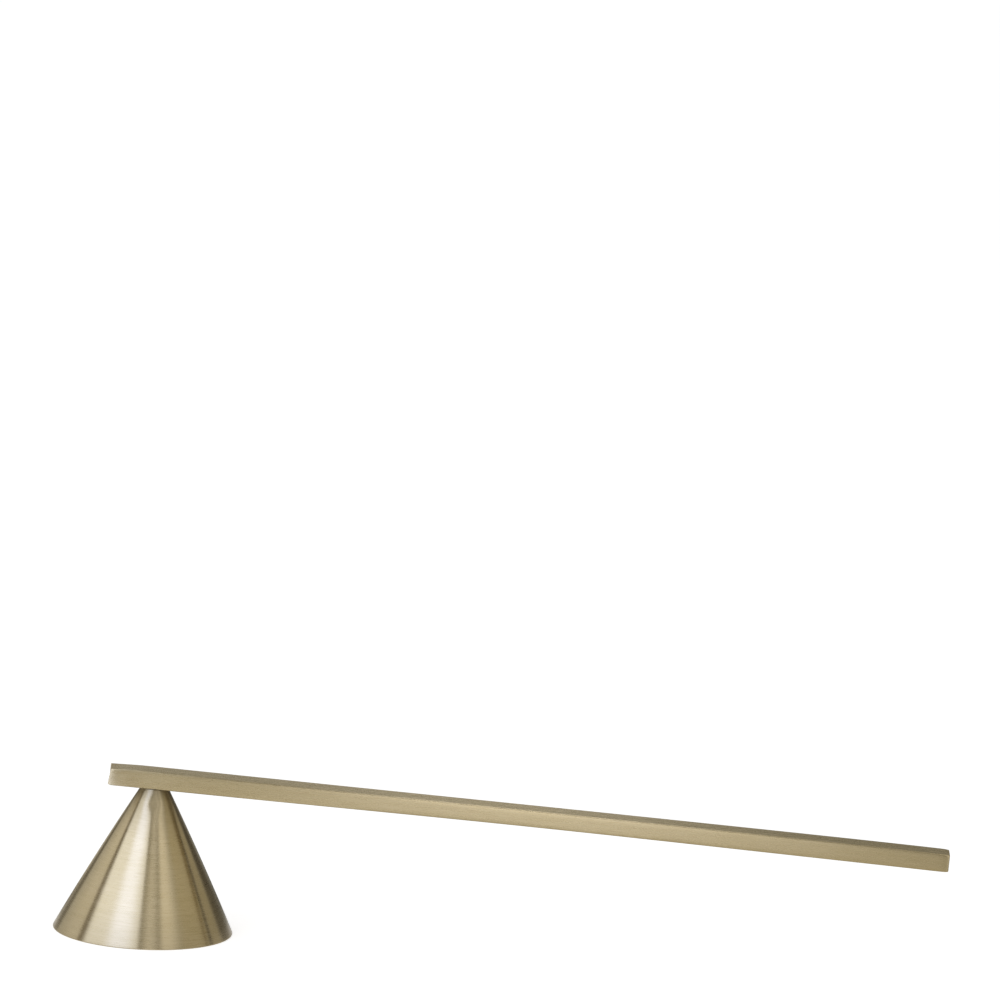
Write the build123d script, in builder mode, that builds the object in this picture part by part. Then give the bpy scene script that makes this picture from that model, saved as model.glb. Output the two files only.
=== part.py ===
from build123d import *
from math import atan, cos, radians, sin, tan
import os

# A hand-held candle snuffer: a hollow brass cone, mouth down, under one end of a flat bar.
# Lengths are in millimetres and angles in degrees. The origin is the centre of the cone's
# mouth, Z points up from the mouth, and X runs towards the end of the bar that is held.

# Handle bar, laid flat on the small end of the cone
bar_length = 200.0
bar_width = 7.0
bar_height = 4.1
bar_edge_round = 0.4
bar_overhang = 10.85  # from the cone's axis to the short end
bar_dip = 2.5  # angle by which the bar falls towards the held end

# Spun cone, its mouth trimmed a little out of square so that it stands level
mouth_diameter = 42.9
neck_diameter = 6.6
cone_height = 34.7
cone_lean = 1.45  # angle by which the cone's axis leans towards the held end
cone_wall = 1.0
mouth_bevel = 0.2
neck_bevel = 0.3

# Turned plug in the tip of the cone
plug_height = 3.5
plug_play = 0.05
plug_bevel = 0.3

# Washer under the screw's head
washer_diameter = 7.0
washer_thickness = 0.5

# Screw that draws the cone up against the bar
screw_diameter = 3.0
screw_play = 0.1  # around the shank in the cone, the plug and the washer
thread_play = 0.02  # around the shank in the bar
screw_head_diameter = 5.7
screw_head_height = 1.65
screw_rim_height = 0.4
screw_crown_diameter = 2.9
socket_width = 2.0
socket_depth = 1.0
screw_tip_bevel = 0.4
metal_over_hole = 0.7
hole_spare_depth = 0.3

# Radii, planes and places along the cone's axis that follow from the sizes above
mouth_radius = mouth_diameter / 2
neck_radius = neck_diameter / 2
shank_radius = screw_diameter / 2
free_hole_radius = shank_radius + screw_play
taper = (mouth_radius - neck_radius) / cone_height
wall_across = cone_wall / cos(atan(taper))
lean = radians(cone_lean)
dip = radians(bar_dip)
neck_allowance = neck_diameter * tan(dip)
mouth_allowance = mouth_diameter * tan(lean)
uncut_top = cone_height + neck_allowance
uncut_bottom = -mouth_allowance
skew = taper * tan(lean)
axis_foot = mouth_radius * skew / (1 - skew**2) / cos(lean)
roof_level = cone_height - cone_wall
plug_base = roof_level - plug_height
washer_base = plug_base - washer_thickness
head_base = washer_base - screw_head_height
hole_depth = bar_height - metal_over_hole
screw_tip = cone_height + hole_depth - hole_spare_depth
cone_base = Plane(
    origin=(axis_foot, 0, 0), x_dir=(cos(lean), 0, -sin(lean)), z_dir=(sin(lean), 0, cos(lean))
)
cone_axis = Axis(cone_base.origin, cone_base.z_dir)
cone_section = Plane(origin=cone_base.origin, x_dir=cone_base.x_dir, z_dir=(0, -1, 0))
bar_seat = Plane(
    origin=cone_base.offset(cone_height).origin,
    x_dir=(cos(dip), 0, -sin(dip)),
    z_dir=(sin(dip), 0, cos(dip)),
)


def outer_radius(level):
    """Radius of the cone's outer side at a level along its axis."""
    return mouth_radius - taper * level


def inner_radius(level):
    """Radius of the hollow inside the cone at a level along its axis."""
    return outer_radius(level) - wall_across


# Cone: a shell with a closed tip, bored for the screw, trimmed level at the mouth and cut off
# along the bar's underside at the tip
with BuildPart() as snuffer_cone:
    with BuildSketch(cone_section):
        with BuildLine():
            Polyline(
                (outer_radius(uncut_bottom), uncut_bottom),
                (outer_radius(uncut_top), uncut_top),
                (free_hole_radius, uncut_top),
                (free_hole_radius, roof_level),
                (inner_radius(roof_level), roof_level),
                (inner_radius(uncut_bottom), uncut_bottom),
                close=True,
            )
        make_face()
    revolve(axis=cone_axis)
    split(bisect_by=Plane.XY, keep=Keep.TOP)
    split(bisect_by=bar_seat, keep=Keep.BOTTOM)
    chamfer(snuffer_cone.edges().group_by(Axis.Z)[0], length=mouth_bevel)
    cone_land = snuffer_cone.faces().filter_by(GeomType.PLANE).sort_by(Axis.Z)[-1]
    chamfer(cone_land.outer_wire().edges(), length=neck_bevel)
snuffer_cone.part.label = "snuffer_cone"

# Plug: fills the tip of the cone and gives the washer a flat seat
with BuildPart(cone_base.offset(plug_base)) as tip_plug:
    Cone(
        bottom_radius=inner_radius(plug_base) - plug_play,
        top_radius=inner_radius(roof_level) - plug_play,
        height=plug_height,
        align=(Align.CENTER, Align.CENTER, Align.MIN),
    )
    Hole(radius=free_hole_radius)
    chamfer(tip_plug.edges().group_by(Axis.Z)[0].sort_by(SortBy.RADIUS)[-1], length=plug_bevel)
tip_plug.part.label = "tip_plug"

# Washer: plain and flat, between the plug and the screw's head
with BuildPart() as screw_washer:
    with BuildSketch(cone_base.offset(washer_base)):
        Circle(radius=washer_diameter / 2)
        Circle(radius=free_hole_radius, mode=Mode.SUBTRACT)
    extrude(amount=washer_thickness)
screw_washer.part.label = "screw_washer"

# Screw: a button head with a hexagon socket, put in from inside the cone
with BuildPart() as fixing_screw:
    with BuildSketch(cone_section):
        with BuildLine():
            head_rim = (screw_head_diameter / 2, washer_base - screw_rim_height)
            head_crown = (screw_crown_diameter / 2, head_base)
            Polyline(
                head_crown,
                (0, head_base),
                (0, screw_tip),
                (shank_radius - screw_tip_bevel, screw_tip),
                (shank_radius, screw_tip - screw_tip_bevel),
                (shank_radius, washer_base),
                (screw_head_diameter / 2, washer_base),
                head_rim,
            )
            TangentArc(head_rim, head_crown, tangent=(0, -1))
        make_face()
    revolve(axis=cone_axis)
    with BuildSketch(cone_base.offset(head_base)):
        RegularPolygon(radius=socket_width / 2, side_count=6, major_radius=False)
    extrude(amount=socket_depth, mode=Mode.SUBTRACT)
fixing_screw.part.label = "fixing_screw"

# Bar: flat stock with broken edges, and a blind tapped hole in line with the cone's axis
with BuildPart(bar_seat) as handle_bar:
    with Locations((-bar_overhang, 0, 0)):
        Box(bar_length, bar_width, bar_height, align=(Align.MIN, Align.CENTER, Align.MIN))
    fillet(handle_bar.edges(), radius=bar_edge_round)
    with BuildSketch(cone_base.offset(cone_height - neck_allowance)):
        Circle(radius=shank_radius + thread_play)
    extrude(amount=neck_allowance + hole_depth, mode=Mode.SUBTRACT)
handle_bar.part.label = "handle_bar"

os.makedirs("parts", exist_ok=True)
for piece in (snuffer_cone, tip_plug, screw_washer, fixing_screw, handle_bar):
    export_step(piece.part, f"parts/{piece.part.label}.step")
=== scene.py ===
import bpy
import math
import numpy as np
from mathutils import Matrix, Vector


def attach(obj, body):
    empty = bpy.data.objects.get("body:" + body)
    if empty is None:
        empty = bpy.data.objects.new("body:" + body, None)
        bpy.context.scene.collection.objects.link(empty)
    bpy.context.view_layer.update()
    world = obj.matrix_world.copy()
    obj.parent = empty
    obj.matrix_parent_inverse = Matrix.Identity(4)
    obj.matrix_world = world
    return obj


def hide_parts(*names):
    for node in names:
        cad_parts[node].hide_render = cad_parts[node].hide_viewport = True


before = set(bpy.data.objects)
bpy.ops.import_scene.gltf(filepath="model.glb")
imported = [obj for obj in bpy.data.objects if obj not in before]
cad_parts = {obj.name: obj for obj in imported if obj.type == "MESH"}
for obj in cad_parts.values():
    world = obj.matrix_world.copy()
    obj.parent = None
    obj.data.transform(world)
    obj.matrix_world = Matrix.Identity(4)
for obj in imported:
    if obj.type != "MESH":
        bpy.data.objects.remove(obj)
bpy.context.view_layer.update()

# Cone: thin brass sheet spun over a form, with a closed tip, and brushed round and round.
# Its mouth is trimmed level, a little out of square to its axis, and its tip is cut to the
# slope of the bar that lies on it. Both edges are rounded off.
MM = 0.001
mouth_radius, neck_radius, cone_height, cone_wall = 21.45, 3.3, 34.7, 1.0
screw_hole_radius = 1.6
cone_lean, bar_dip = math.radians(1.45), math.radians(2.5)
swell = 0.25  # how far the side stands out halfway up
taper = (mouth_radius - neck_radius) / cone_height
wall_across = cone_wall * math.hypot(1, taper)
roof = cone_height - cone_wall
mouth_slope, neck_slope = math.tan(cone_lean), math.tan(bar_dip - cone_lean)
skew = taper * mouth_slope
axis_foot = mouth_radius * skew / (1 - skew**2) / math.cos(cone_lean)
ring_points = 256


def edge(start, end, count, bow=0.0):
    """Points from start to end, both left out: even steps along the straight line, pushed
    sideways by bow times a parabola that is 1 in the middle and 0 at both ends."""
    t = (np.arange(1, count + 1) / (count + 1))[:, None, None]
    along = end - start
    aside = np.stack([-along[1], along[0]]) / np.hypot(*along)
    return start + along * t + aside * bow * 4 * t * (1 - t)


def bend(before, corner, after, reach, count=7):
    """A rounded corner: a quadratic curve pulled towards the corner, from the point that lies
    reach before it to the point that lies reach after it."""
    t = np.linspace(0, 1, count)[:, None, None]
    start = corner + (before - corner) / np.hypot(*(before - corner)) * reach
    end = corner + (after - corner) / np.hypot(*(after - corner)) * reach
    return (1 - t) ** 2 * start + 2 * t * (1 - t) * corner + t**2 * end


def grid_mesh(name, points, closed_rows, capped=False):
    """Mesh over a grid of points in millimetres: rows of closed rings, with quads between
    neighbours, and a flat face over each end if capped. The UV map runs 0 to 1 round a ring
    in u and 0 to 1 over the rows in v."""
    rows, columns = points.shape[:2]
    row_steps = np.arange(rows if closed_rows else rows - 1)
    i, j = [a.ravel() for a in np.meshgrid(row_steps, np.arange(columns), indexing="ij")]
    corners = [(i, j), (i + 1, j), (i + 1, j + 1), (i, j + 1)]
    quads = np.stack([a % rows * columns + b % columns for a, b in corners], 1)
    uv = np.stack([np.stack([b / columns, a / rows], 1) for a, b in corners], 1).reshape(-1, 2)
    faces = quads.tolist()
    if capped:
        first, last = np.arange(columns), np.arange(columns) + (rows - 1) * columns
        faces += [first.tolist(), last[::-1].tolist()]
        uv = np.concatenate([uv, np.zeros((2 * columns, 2))])
    mesh = bpy.data.meshes.new(name)
    mesh.from_pydata((points.reshape(-1, 3) * MM).tolist(), [], faces)
    mesh.uv_layers.new(name="surface").uv.foreach_set("vector", uv.ravel().astype(np.float32))
    mesh.shade_smooth()
    piece = bpy.data.objects.new(name, mesh)
    bpy.context.scene.collection.objects.link(piece)
    return piece


def tilt(x, y, z, angle, foot):
    """Points turned by angle about Y, from a frame whose origin is at foot on the X-Z plane."""
    c, s = math.cos(angle), math.sin(angle)
    return np.stack([foot[0] + x * c + z * s, y, foot[1] - x * s + z * c], -1)


def cut(radius, level, slope):
    """A ring of the section: radius round the axis, and the level where a plane of that slope,
    which crosses the axis at level, cuts it."""
    return np.stack([radius, level + radius * np.cos(turn) * slope])


# The wall's section has six corners: the hole's upper edge, the tip's and the mouth's outer edge,
# the mouth's inner edge, the roof's rim, and the hole's lower edge.
turn = np.linspace(0, 2 * math.pi, ring_points, endpoint=False)
full = np.ones_like(turn)
mouth_edge = 1 / (1 + skew * np.cos(turn))
neck_edge = neck_radius / (1 - taper * neck_slope * np.cos(turn))
corners = [
    cut(screw_hole_radius * full, cone_height, -neck_slope),
    cut(neck_edge, cone_height, -neck_slope),
    cut(mouth_radius * mouth_edge, 0, mouth_slope),
    cut((mouth_radius - wall_across) * mouth_edge, 0, mouth_slope),
    cut((mouth_radius - wall_across - taper * roof) * full, roof, 0),
    cut(screw_hole_radius * full, roof, 0),
]
reaches = [0.06, 0.15, 0.32, 0.2, 0.35, 0.06]  # how far each corner is rounded
counts = [4, 84, 3, 60, 3, 3]  # points on the line that leaves each corner
bows = [0, swell, 0, -swell, 0, 0]
bends = [bend(corners[k - 1], corners[k], corners[(k + 1) % 6], reaches[k]) for k in range(6)]
loop = []
for k in range(6):
    loop += [bends[k], edge(bends[k][-1], bends[(k + 1) % 6][0], counts[k], bows[k])]
radius, level = np.concatenate(loop).transpose(1, 0, 2)

# The front of the tip was filed a little flat where it meets the bar.
flat_depth, flat_level, flat_reach = 0.28, 31.6, 1.8
flat_turn, flat_width = math.radians(-86), math.radians(18)
away = (turn - flat_turn + math.pi) % (2 * math.pi) - math.pi
outside = (radius - (mouth_radius - wall_across - taper * level)) / wall_across
filed = np.exp(-((away / flat_width) ** 2) - ((level - flat_level) / flat_reach) ** 2)
radius = radius - flat_depth * np.clip(outside, 0, 1) * filed
points = tilt(radius * np.cos(turn), radius * np.sin(turn), level, cone_lean, (axis_foot, 0))
cone = grid_mesh("spun_cone", points, closed_rows=True)


def new_material(name):
    """A node material with only a shader in it: the material, its tree and its shader."""
    material = bpy.data.materials.new(name)
    material.use_nodes = True
    return material, material.node_tree, material.node_tree.nodes["Principled BSDF"]


def add(tree, kind, inputs=None, out=0, **settings):
    """Adds a node, sets it up, and returns one of its outputs. An input may be another node's
    output."""
    node = tree.nodes.new("ShaderNode" + kind)
    for name, value in settings.items():
        setattr(node, name, value)
    for name, value in (inputs or {}).items():
        if isinstance(value, bpy.types.NodeSocket):
            tree.links.new(value, node.inputs[name])
        else:
            node.inputs[name].default_value = value
    return node.outputs[out]


def math_node(tree, operation, a, b):
    return add(tree, "Math", {0: a, 1: b}, operation=operation)


def spread(tree, value, low, high, to_low, to_high):
    """Carries value from low..high to to_low..to_high, held at the ends."""
    return add(tree, "MapRange", {0: value, 1: low, 2: high, 3: to_low, 4: to_high})


def blend_colours(tree, factor, a, b, kind="MIX"):
    return add(tree, "Mix", {0: factor, 6: a, 7: b}, out=2, data_type="RGBA", blend_type=kind)


def place_on_piece(tree):
    """Coordinates in metres, fixed to the piece."""
    return add(tree, "TexCoord", out=3)


def ring_grain(tree, round_scale, height_scale, seed=0.0):
    """Coordinates whose cells lie as rings round the cone's axis: the bearing as a point on a
    circle of radius round_scale, and the height times height_scale, shifted by seed."""
    place = add(tree, "Mapping", {"Vector": place_on_piece(tree),
                                  "Location": (axis_foot * MM, 0, 0),
                                  "Rotation": (0, cone_lean, 0)}, vector_type="TEXTURE")
    flat = add(tree, "VectorMath", {0: place, 1: (1, 1, 0)}, operation="MULTIPLY")
    unit = add(tree, "VectorMath", {0: flat}, operation="NORMALIZE")
    circle = (round_scale, round_scale, 0)
    ring = add(tree, "VectorMath", {0: unit, 1: circle}, operation="MULTIPLY")
    rise = add(tree, "VectorMath", {0: place, 1: (0, 0, height_scale), 2: (0, 0, seed)},
               operation="MULTIPLY_ADD")
    return add(tree, "VectorMath", {0: ring, 1: rise}, operation="ADD")


def noise(tree, vector, scale=1.0, detail=3.0, roughness=0.6):
    return add(tree, "TexNoise", {"Vector": vector, "Scale": scale, "Detail": detail,
                                  "Roughness": roughness})


def brush_marks(tree, fine, broad):
    """Fine and broad marks together, three parts to two."""
    fine_part = math_node(tree, "MULTIPLY", fine, 0.6)
    broad_part = math_node(tree, "MULTIPLY", broad, 0.4)
    return math_node(tree, "ADD", fine_part, broad_part)


def brushed_finish(tree, shader, colour, roughness, marks):
    """Joins up a brushed brass surface: its colour and gloss, the relief of the marks, and
    reflections that are drawn out across them, along the piece's own UV map."""
    relief = add(tree, "Bump", {"Strength": 0.15, "Distance": 0.02 * MM, "Height": marks})
    grain_way = add(tree, "Tangent", direction_type="UV_MAP", uv_map="surface")
    for name, value in (("Base Color", colour), ("Roughness", roughness), ("Normal", relief),
                        ("Tangent", grain_way)):
        tree.links.new(value, shader.inputs[name])
    shader.inputs["Specular Tint"].default_value = (0.72, 0.72, 0.72, 1)
    shader.inputs["Metallic"].default_value = 1.0
    shader.inputs["Anisotropic"].default_value = 1.0


dark_brass, light_brass = (0.415, 0.34, 0.212, 1), (0.495, 0.41, 0.268, 1)
tarnish_brown, scratch_brown = (0.42, 0.34, 0.19, 1), (0.34, 0.27, 0.16, 1)
material, tree, shader = new_material("brushed_brass_cone")
fine = noise(tree, ring_grain(tree, 4.0, 5200.0))
broad = noise(tree, ring_grain(tree, 2.2, 1700.0, 7.0))
scratch = noise(tree, ring_grain(tree, 2.5, 2600.0, 3.0), detail=1.0)
tarnish = noise(tree, place_on_piece(tree), scale=110.0, detail=2.0)
height = add(tree, "SeparateXYZ", {0: place_on_piece(tree)}, out=2)
marks = brush_marks(tree, fine, broad)
colour = blend_colours(tree, spread(tree, marks, 0.35, 0.65, 0, 1), dark_brass, light_brass)
colour = blend_colours(tree, spread(tree, tarnish, 0.45, 0.75, 0, 0.3), colour, tarnish_brown)
colour = blend_colours(tree, spread(tree, scratch, 0.66, 0.80, 0, 0.25), colour, scratch_brown)

# Painted shade: the side's colour is darkened at the mouth and near the tip; the tip is rougher
# too.
near_mouth = spread(tree, height, 1 * MM, 9 * MM, 0.88, 1)
near_tip = spread(tree, height, 22 * MM, 31 * MM, 1, 0.93)
at_tip = spread(tree, height, 32 * MM, 34.5 * MM, 1, 0.74)
painted_shade_by_height = math_node(tree, "MULTIPLY", math_node(tree, "MULTIPLY", near_mouth, near_tip), at_tip)
colour = blend_colours(tree, 1.0, colour, painted_shade_by_height, kind="MULTIPLY")
rougher = spread(tree, height, 24 * MM, 34 * MM, 0, 0.15)
roughness = math_node(tree, "ADD", spread(tree, marks, 0.3, 0.7, 0.25, 0.31), rougher)
brushed_finish(tree, shader, colour, roughness, marks)
shader.inputs["Anisotropic Rotation"].default_value = 0.25
cone.data.materials.append(material)
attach(cone, "root")
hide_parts("snuffer_cone")

# Plug: a short brass cone turned to fill the tip, so that the washer has a flat seat.
# The CAD solid has its shape, so only its finish is made here: the tool left rings on it.
dark_turned, light_turned = (0.46, 0.35, 0.17, 1), (0.66, 0.53, 0.30, 1)
material, tree, shader = new_material("turned_brass_plug")
groove = noise(tree, ring_grain(tree, 1.2, 6500.0))
face_ring = add(tree, "TexWave", {"Vector": place_on_piece(tree), "Scale": 900.0,
                                  "Distortion": 1.5, "Detail": 2.0},
                out=1, wave_type="RINGS", rings_direction="Z")
relief = add(tree, "Bump", {"Strength": 0.2, "Distance": 0.02 * MM, "Height": face_ring})
colour = blend_colours(tree, groove, dark_turned, light_turned)
tree.links.new(colour, shader.inputs["Base Color"])
tree.links.new(spread(tree, face_ring, 0, 1, 0.24, 0.34), shader.inputs["Roughness"])
tree.links.new(relief, shader.inputs["Normal"])
shader.inputs["Metallic"].default_value = 1.0
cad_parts["tip_plug"].data.materials[0] = material

# Washer and screw: bright zinc-plated steel, bought in. The washer is stamped and the screw's
# head is formed, with a hexagon socket that faces the mouth.
dark_zinc, light_zinc = (0.50, 0.51, 0.52, 1), (0.62, 0.62, 0.60, 1)
material, tree, shader = new_material("plated_steel")
cloud = noise(tree, place_on_piece(tree), scale=900.0, detail=5.0)
line = noise(tree, ring_grain(tree, 1.5, 9000.0, 2.0))
relief = add(tree, "Bump", {"Strength": 0.15, "Distance": 0.02 * MM, "Height": cloud})
colour = blend_colours(tree, cloud, dark_zinc, light_zinc)
tree.links.new(colour, shader.inputs["Base Color"])
tree.links.new(spread(tree, line, 0.3, 0.7, 0.20, 0.34), shader.inputs["Roughness"])
tree.links.new(relief, shader.inputs["Normal"])
shader.inputs["Metallic"].default_value = 1.0
for name in ("screw_washer", "fixing_screw"):
    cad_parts[name].data.materials[0] = material

# Bar: a length of flat brass stock laid on the cone's tip, brushed lengthways by hand on all
# sides, with its edges and ends just broken.
bar_length, bar_width, bar_height, bar_overhang = 199.98, 7.0, 4.1, 10.85
fuller, end_fall = 0.26, 4.8  # extra height, and how fast it grows from the short end
thinner, thin_span = 0.34, 1.05  # height lost halfway along, and its span in half waves
bow, bow_middle, bow_spread = 0.25, 0.52, 0.3  # how far it stands up, where, over what share
end_sag, sag_power = 0.17, 12  # how far the held end turns down, and how suddenly
edge_round, lower_edge_share, end_round = 0.25, 0.8, 0.15
end_draw, end_draw_reach = 0.04, 0.6  # how far the sides are drawn in at the ends
held_draw = 0.15  # how much more they are drawn in at the held end
waist, waist_start, waist_length = 0.2, 5.0, 40.0  # how far they are worn in over the cone
end_shift, end_twist, end_cut_reach = 0.034, -0.035, 2.0  # the short end's cut: in, and twisted
end_lift, end_lift_reach = 0.2, 0.4  # how the short end's lower edge is rounded
side_crown, side_power = 0.13, 4  # how far the sides stand out in their middles
top_crown, top_power = 0.05, 2  # the same on top and underneath
steps_in_end, steps_along, steps_in_corner, steps_in_face = 7, 260, 7, 8


def bar_rings(length_at, inset):
    """Rings of a rectangle with quarter-circle corners and bulged faces, one for each place
    along the bar. inset draws a ring's four sides in. The height falls off at the short end by a
    bell curve and dips by a sine squared along the bar. The middle rises in a bell curve and
    falls off at the held end by a high power. The sides' wear grows as a bell curve falls, and
    dies away. At the short end x shifts by the product of y and z, which twists the cut."""
    at = length_at[:, None, None]
    inset = inset[:, None, None]
    share = at / bar_length
    near_end = bar_height + fuller * (1 - np.exp(-((at / end_fall) ** 2)))
    height = near_end - thinner * np.sin(thin_span * math.pi * share) ** 2
    middle = near_end / 2 + bow * np.exp(-(((share - bow_middle) / bow_spread) ** 2))
    middle = middle - end_sag * share**sag_power
    worn = waist * (1 - np.exp(-((at / waist_start) ** 2))) * np.exp(-at / waist_length)
    half_y, half_z = bar_width / 2 - worn - inset, height / 2 - inset
    quarter = np.arange(4)[:, None]
    angle = (np.linspace(0, 1, steps_in_corner) + quarter) * math.pi / 2
    side_y, side_z = np.where(quarter % 3 == 0, 1, -1), np.where(quarter < 2, 1, -1)
    corner = edge_round * np.where(quarter < 2, 1, lower_edge_share)
    bent = np.stack([side_y * (half_y - corner) + np.cos(angle) * corner,
                     side_z * (half_z - corner) + np.sin(angle) * corner])
    t = np.arange(1, steps_in_face + 1) / (steps_in_face + 1)
    face = bent[..., -1:] * (1 - t) + np.roll(bent, -1, axis=2)[..., :1] * t
    flat_y, flat_z = np.concatenate([bent, face], -1)
    y = flat_y * (1 - side_crown / half_y * (flat_z / half_z) ** side_power)
    z = flat_z * (1 - top_crown / half_z * (flat_y / half_y) ** top_power)
    lower = np.clip(-z / half_z, 0, 1) ** 4
    z = z + end_lift * np.exp(-((at / end_lift_reach) ** 2)) * lower
    x = at + (end_shift + end_twist * y * z) * np.exp(-at / end_cut_reach)
    return np.stack([x, y, z + middle], -1).reshape(len(length_at), -1, 3)


quarter_turn = np.linspace(math.pi / 2, 0, steps_in_end)
end_depth, drawn_in = end_round * (1 - np.sin(quarter_turn)), end_round * (1 - np.cos(quarter_turn))
wave = np.sin(np.linspace(-1, 1, steps_along) * math.pi / 2)
straight = (bar_length / 2 + (bar_length / 2 - end_round) * wave)[1:-1]
length_at = np.concatenate([end_depth, straight, bar_length - end_depth[::-1]])
inset = np.concatenate([drawn_in, 0 * straight, drawn_in[::-1]])
inset += end_draw * np.exp(-length_at / end_draw_reach)
inset += held_draw * np.exp((length_at - bar_length) / end_draw_reach)
x, y, z = np.moveaxis(bar_rings(length_at, inset), -1, 0)
seat = (axis_foot + cone_height * math.sin(cone_lean), cone_height * math.cos(cone_lean))
bar = grid_mesh("flat_bar", tilt(x - bar_overhang, y, z, bar_dip, seat), False, capped=True)


def long_grain(tree, cell_length, cell_width, seed=0.0):
    """Coordinates whose cells lie along the bar, cell_length by cell_width metres."""
    place = add(tree, "Mapping", {"Vector": place_on_piece(tree), "Rotation": (0, bar_dip, 0)},
                vector_type="TEXTURE")
    size = (1 / cell_length, 1 / cell_width, 1 / cell_width)
    return add(tree, "VectorMath", {0: place, 1: size, 2: (seed, seed, seed)},
               operation="MULTIPLY_ADD")


dark_brass, light_brass = (0.41, 0.334, 0.207, 1), (0.49, 0.406, 0.261, 1)
tarnish_brown, pit_brown = (0.41, 0.33, 0.185, 1), (0.26, 0.20, 0.11, 1)
material, tree, shader = new_material("brushed_brass_bar")
fine = noise(tree, long_grain(tree, 0.0035, 0.00016))
broad = noise(tree, long_grain(tree, 0.011, 0.0006, 5.0))
pit = noise(tree, long_grain(tree, 0.0011, 0.00035, 9.0), detail=1.0)
tarnish = noise(tree, long_grain(tree, 0.03, 0.006, 2.0), detail=4.0)
marks = brush_marks(tree, fine, broad)
colour = blend_colours(tree, spread(tree, marks, 0.35, 0.65, 0, 1), dark_brass, light_brass)
colour = blend_colours(tree, spread(tree, tarnish, 0.4, 0.7, 0, 0.35), colour, tarnish_brown)
colour = blend_colours(tree, spread(tree, pit, 0.70, 0.80, 0, 0.4), colour, pit_brown)
brushed_finish(tree, shader, colour, spread(tree, marks, 0.3, 0.7, 0.24, 0.31), marks)
bar.data.materials.append(material)
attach(bar, "root")
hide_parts("handle_bar")

# Camera: a long lens in front of the snuffer, as far off and as low as in the photograph, and
# turned a little on its own axis, so that the bar runs down to the right.
camera_data = bpy.data.cameras.new("camera")
camera_data.sensor_width, camera_data.lens = 36.0, 288.0
camera_data.clip_start, camera_data.clip_end = 0.1, 20.0
camera = bpy.data.objects.new("camera", camera_data)
camera.location = (0.1034832, -1.8556501, 0.4347906)
camera.rotation_euler = [math.radians(a) for a in (80.018442, -3.262311, 1.328794)]
bpy.context.scene.collection.objects.link(camera)
bpy.context.scene.camera = camera

# Studio: a white table under a dome of cards and softboxes that only reflections see. They draw
# the bands on the cone: a large softbox at front left, white and grey cards, and dark flags.
cone_middle = np.array([0, 0, 0.017])
gap_over_table = 0.002  # how far over the table a card at 1 m ends
card_rows, card_columns = 33, 25


def add_output(tree):
    return tree.nodes.new("ShaderNodeOutputMaterial").inputs["Surface"]


def fade(tree, value, low, high, to_low, to_high):
    """Carries value as spread does, with a soft start and end."""
    return add(tree, "MapRange", {0: value, 1: low, 2: high, 3: to_low, 4: to_high},
               interpolation_type="SMOOTHSTEP")


def glowing_card(name, points, light, feathers):
    """A card over a grid of points that glows with light and fades out towards its first and
    last rows, over the two feathers, as shares of its rows. Only reflections see it."""
    rows, columns = points.shape[:2]
    steps = np.meshgrid(np.arange(rows - 1), np.arange(columns - 1), indexing="ij")
    first = (steps[0] * columns + steps[1]).ravel()
    faces = np.stack([first, first + 1, first + columns + 1, first + columns], 1)
    mesh = bpy.data.meshes.new(name)
    mesh.from_pydata(points.reshape(-1, 3).tolist(), [], faces.tolist())
    along = np.repeat(np.linspace(0, 1, rows), columns).astype(np.float32)
    mesh.attributes.new("along", "FLOAT", "POINT").data.foreach_set("value", along)
    card = bpy.data.objects.new(name, mesh)
    bpy.context.scene.collection.objects.link(card)
    material, tree, _ = new_material(name)
    tree.nodes.clear()
    along = add(tree, "Attribute", attribute_name="along", out=2)
    start = fade(tree, along, 0.0, feathers[0], 0.0, 1.0)
    end = fade(tree, along, 1 - feathers[1], 1.0, 1.0, 0.0)
    glow = add(tree, "Emission", {"Color": (*light, 1), "Strength": 1.0})
    clear = add(tree, "BsdfTransparent")
    mix = add(tree, "MixShader", {0: math_node(tree, "MULTIPLY", start, end), 1: clear, 2: glow})
    tree.links.new(mix, add_output(tree))
    material.cycles.emission_sampling = "NONE"
    mesh.materials.append(material)
    for ray in ("camera", "diffuse", "shadow", "transmission", "volume_scatter"):
        setattr(card, "visible_" + ray, False)


def dome_card(name, rays, size, light, feathers):
    """A card on a dome of radius size round the cone's middle, where the rays from there end.
    A ray that meets the table first ends just over it."""
    drop = cone_middle[2] - gap_over_table / size
    far = np.minimum(size, drop / np.maximum(-rays[..., 2], 1e-6))
    glowing_card(name, cone_middle + rays * far[..., None], light, feathers)


def sky_rays(first, last, lowest, highest, rows=card_rows):
    """Directions over a patch of the dome. Rows of them face the bearings first to last, and
    they rise from lowest to highest, in degrees."""
    bearing = np.radians(np.linspace(first, last, rows))[:, None]
    rise = np.radians(np.linspace(lowest, highest, card_columns))
    ray = [np.cos(rise) * np.sin(bearing), -np.cos(rise) * np.cos(bearing), np.sin(rise)]
    return np.stack(np.broadcast_arrays(*ray), -1)


def mirror_rays(first, last, lowest, highest):
    """The directions in which facets mirror the camera: twice the facet's share of the view,
    less the view. Rows of facets face the bearings first to last, 0 towards the camera and
    growing to the right, and tilt up from lowest to highest, in degrees. A row starts above
    lowest where the camera would see the backs of its facets."""
    margin = 0.03  # radians above the facet that the camera sees edge on
    bearing = np.radians(np.linspace(first, last, card_rows))[:, None]
    view = np.array((camera.location - Vector(cone_middle)).normalized())
    level_part = view[0] * np.sin(bearing) - view[1] * np.cos(bearing)
    start = np.maximum(math.radians(lowest), np.arctan(-level_part / view[2]) + margin)
    rise = start + (math.radians(highest) - start) * np.linspace(0, 1, card_columns)
    bearing, rise = np.broadcast_arrays(bearing, rise)
    facet = tilt(np.cos(rise) * np.sin(bearing), -np.cos(rise) * np.cos(bearing), np.sin(rise),
                 cone_lean, (0, 0))
    return 2 * (facet @ view)[..., None] * facet - view


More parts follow.
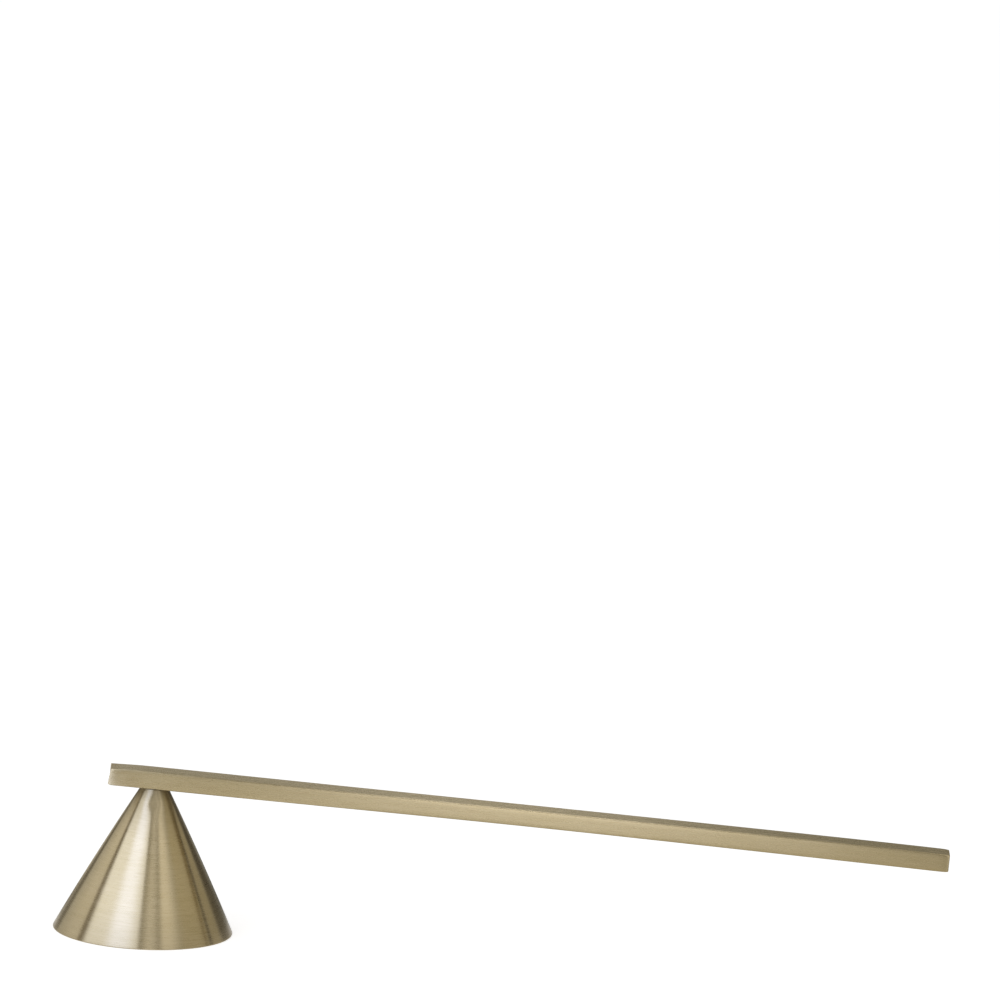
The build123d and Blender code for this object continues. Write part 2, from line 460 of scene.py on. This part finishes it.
def long_card(name, first, last, outline, light, feathers):
    """A card that runs from first to last along X, over an outline in Y and Z, in metres."""
    along = np.linspace(first, last, card_rows)[:, None]
    points = np.stack(np.broadcast_arrays(along, *np.array(outline).T), -1)
    glowing_card(name, points, light, feathers)


dome_card("shell", sky_rays(0, 360, -30, 90, 49), 1.44, (0.60, 0.60, 0.55), (0.001, 0.001))
dome_card("back_right", sky_rays(150, 178, -30, 70), 1.40, (0.38, 0.38, 0.34), (0.1, 0.3))
dome_card("back_low", sky_rays(140, 225, -30, 7), 1.37, (0.32, 0.32, 0.30), (0.1, 0.1))

# Cards that the cone's side mirrors: the facets' bearings, how far up they tilt, the light, and
# the feathers, in degrees of bearing. Each card lies a little nearer than the one before.
cards = [
    ("rim_left", -97, -73, 58, (0.58, 0.52, 0.41), (1, 8)),
    ("rim_left_bright", -89, -76, 58, (0.98, 0.90, 0.72), (4, 6)),
    ("flag_left", -79, -68, 58, (0.22, 0.20, 0.15), (4, 3)),
    ("fill_left", -71, -42.4, 58, (0.84, 0.84, 0.80), (5, 1)),
    ("fill_left_bright", -68, -42.4, 58, (1.08, 1.08, 1.04), (20, 1)),
    ("slot_left", -43.9, -37.6, 58, (0.28, 0.245, 0.185), (1, 1)),
    ("key_side", -40.3, 0.4, 58, (1.74, 1.88, 2.18), (4.5, 1.5)),
    ("key_front", -25, 0.4, 58, (2.2, 2.5, 3.45), (9, 12)),
    ("grey_front", -0.6, 17, 58, (0.385, 0.37, 0.30), (1.5, 2)),
    ("fill_front_right", 13, 33, 58, (1.16, 1.15, 1.08), (4, 13)),
    ("grey_right", 25, 53, 58, (0.71, 0.67, 0.52), (9, 1.5)),
    ("slot_right", 51.4, 55.4, 58, (0.12, 0.105, 0.08), (0.8, 0.8)),
    ("dim_right", 54.5, 70, 58, (0.54, 0.51, 0.40), (2, 8)),
    ("flag_right", 63, 86, 58, (0.12, 0.11, 0.09), (6, 8)),
    ("rim_right", 79, 99, 58, (0.28, 0.28, 0.25), (8, 1)),
    ("front_edge", -3.8, 3, 15, (0.58, 0.56, 0.46), (0.6, 3)),
    ("front_low", -2.4, 17, 6, (1.0, 0.98, 0.86), (1.2, 5)),
]
lowest_tilt, first_size, size_step = -6, 1.3, 0.02
for order, (name, first, last, highest, light, feathers) in enumerate(cards):
    rays = mirror_rays(first, last, lowest_tilt, highest)
    shares = [f / (last - first) for f in feathers]
    dome_card(name, rays, first_size - size_step * order, light, shares)

# Cards for the bar: one overhead for its top, and two in front for its side, of which the nearer
# one brightens the side's upper edge.
overhead = [(-0.12, 0.55), (0.3, 0.55)]
front = [(-0.06, 0.004), (-0.45, 0.004), (-0.45, 0.3)]
front_strip = [(-0.44, 0.05), (-0.44, 0.24)]
long_card("light_overhead", 0.035, 0.22, overhead, (2.4, 2.48, 2.64), (0.27, 0.51))
long_card("front_glow", -0.012, 0.235, front, (1.24, 1.27, 1.3), (0.45, 0.55))
long_card("edge_glow", -0.02, 0.25, front_strip, (2.68, 2.72, 2.8), (0.44, 0.68))


def seen_directly(tree):
    """1 for the camera's rays and for those that metal or glass sends on, 0 for other light."""
    path = add(tree, "LightPath").node
    seen = path.outputs["Is Camera Ray"]
    for ray in ("Is Glossy Ray", "Is Transmission Ray"):
        seen = math_node(tree, "MAXIMUM", seen, path.outputs[ray])
    return seen


# The table is white paper that keeps the snuffer's shadow and is clear from below.
table_reach, table_gap, paper_lift = 4.0, 0.02, 0.58
material, tree, _ = new_material("white_table")
tree.nodes.clear()
paper = add(tree, "BsdfDiffuse", {"Color": (0.8, 0.8, 0.8, 1)})
strength = math_node(tree, "MULTIPLY", seen_directly(tree), paper_lift)
lift = add(tree, "Emission", {"Color": (1, 1, 1, 1), "Strength": strength})
both = add(tree, "AddShader", {0: paper, 1: lift})
underside = add(tree, "NewGeometry", out=6)
sheet = add(tree, "MixShader", {0: underside, 1: both, 2: add(tree, "BsdfTransparent")})
tree.links.new(sheet, add_output(tree))
material.cycles.emission_sampling = "NONE"
mesh = bpy.data.meshes.new("white_table")
corner_signs = ((-1, -1), (1, -1), (1, 1), (-1, 1))
table_corners = [(a * table_reach, b * table_reach, 0) for a, b in corner_signs]
mesh.from_pydata(table_corners, [], [(0, 1, 2, 3)])
mesh.materials.append(material)
table = bpy.data.objects.new("white_table", mesh)
table.location.z = -table_gap * MM
bpy.context.scene.collection.objects.link(table)

softbox_data = bpy.data.lights.new("softbox", "AREA")
softbox_data.shape, softbox_data.size, softbox_data.size_y = "RECTANGLE", 0.9, 0.9
softbox_data.energy = 2.4
softbox = bpy.data.objects.new("softbox", softbox_data)
softbox.location = (-0.55, -0.75, 0.85)
softbox.rotation_euler = Vector(softbox.location).to_track_quat("Z", "Y").to_euler()
softbox.visible_glossy = False
softbox.visible_camera = False
bpy.context.scene.collection.objects.link(softbox)

room_light, background = 0.55, 1.0
world = bpy.data.worlds.new("white_room")
world.use_nodes = True
tree = world.node_tree
tree.nodes.clear()
strength = spread(tree, seen_directly(tree), 0, 1, room_light, background)
sky = add(tree, "Background", {"Color": (1, 1, 1, 1), "Strength": strength})
tree.links.new(sky, tree.nodes.new("ShaderNodeOutputWorld").inputs["Surface"])
bpy.context.scene.world = world
bpy.context.scene.view_settings.view_transform = "Standard"
